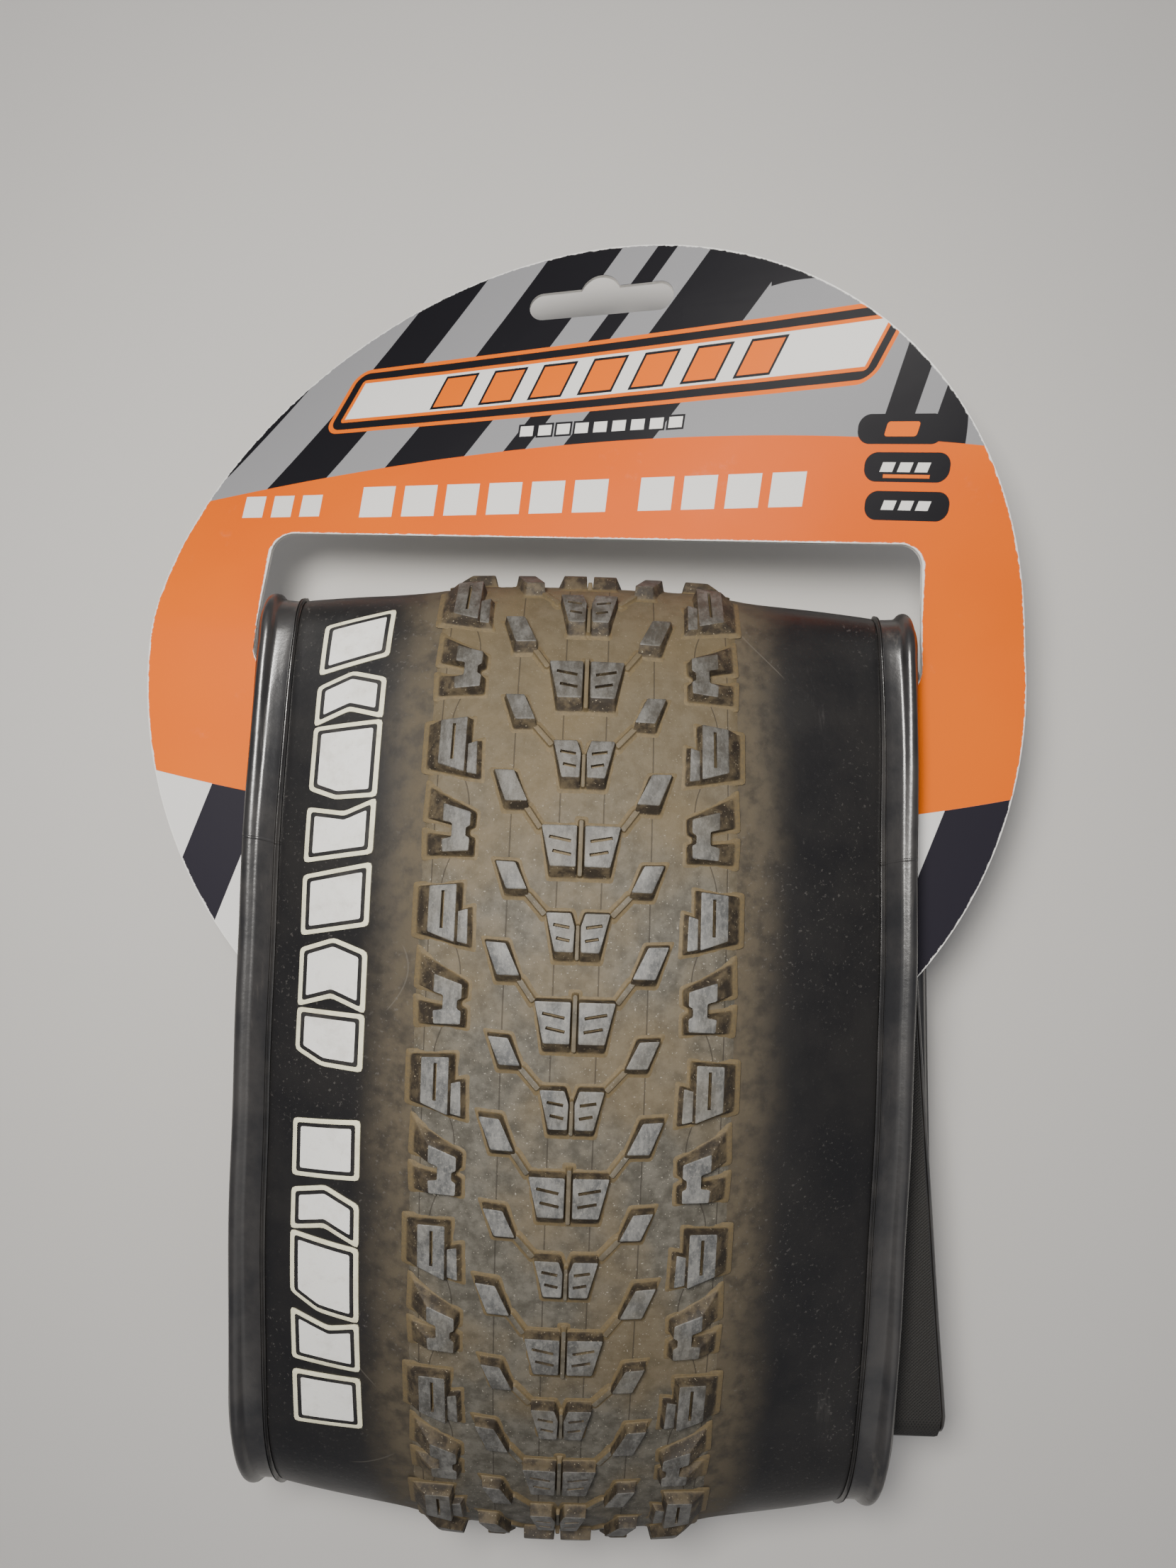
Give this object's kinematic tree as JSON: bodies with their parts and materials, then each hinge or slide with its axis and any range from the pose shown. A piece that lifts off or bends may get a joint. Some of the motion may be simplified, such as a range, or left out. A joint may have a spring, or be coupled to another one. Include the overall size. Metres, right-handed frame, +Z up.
{
  "type": "folded bicycle tire on a hang card",
  "caption": "Folding knobby bicycle tire packed into a flat bundle, its front run arched over taut beads and threaded through a round cardboard hang card that slides in the fold.",
  "frame": {"origin": "middle of the object's footprint, on the ground the bundle lies on", "axes": "+X across the tire, +Y along the fold towards the card's hang slot, +Z up, out of the tread that faces the buyer"},
  "size_m": [0.1942, 0.2929, 0.0865],
  "materials": {
    "tread_rubber": "matte, dusty",
    "sidewall_rubber": "satin",
    "bead_rubber": "satin",
    "casing_fabric": "rubberised nylon fabric",
    "aramid_cord": "bundled cord",
    "label_film": "printed cream label",
    "card_board": "matte white board",
    "card_paper": "matte white",
    "card_print": "coated, printed orange and grey"
  },
  "bodies": {
    "tire": {"tread_band": "tread_rubber", "breaker_strip": "casing_fabric", "casing_ply_inner": "casing_fabric", "casing_ply_outer": "casing_fabric", "sidewall_left": "sidewall_rubber", "sidewall_right": "sidewall_rubber", "bead_filler_left": "sidewall_rubber", "bead_filler_right": "sidewall_rubber", "bead_core_left": "aramid_cord", "bead_core_right": "aramid_cord", "rim_strip_left": "bead_rubber", "rim_strip_right": "bead_rubber", "label_long": "label_film", "label_short": "label_film"},
    "card": {"card_board": "card_board", "card_back_sheet": "card_paper", "card_front_sheet": "card_print"}
  },
  "joints": [
    {"name": "card_slide", "type": "slide", "parent": "tire", "child": "card", "axis": [0, 1, 0], "range_m": [-0.008, 0.007]}
  ]
}
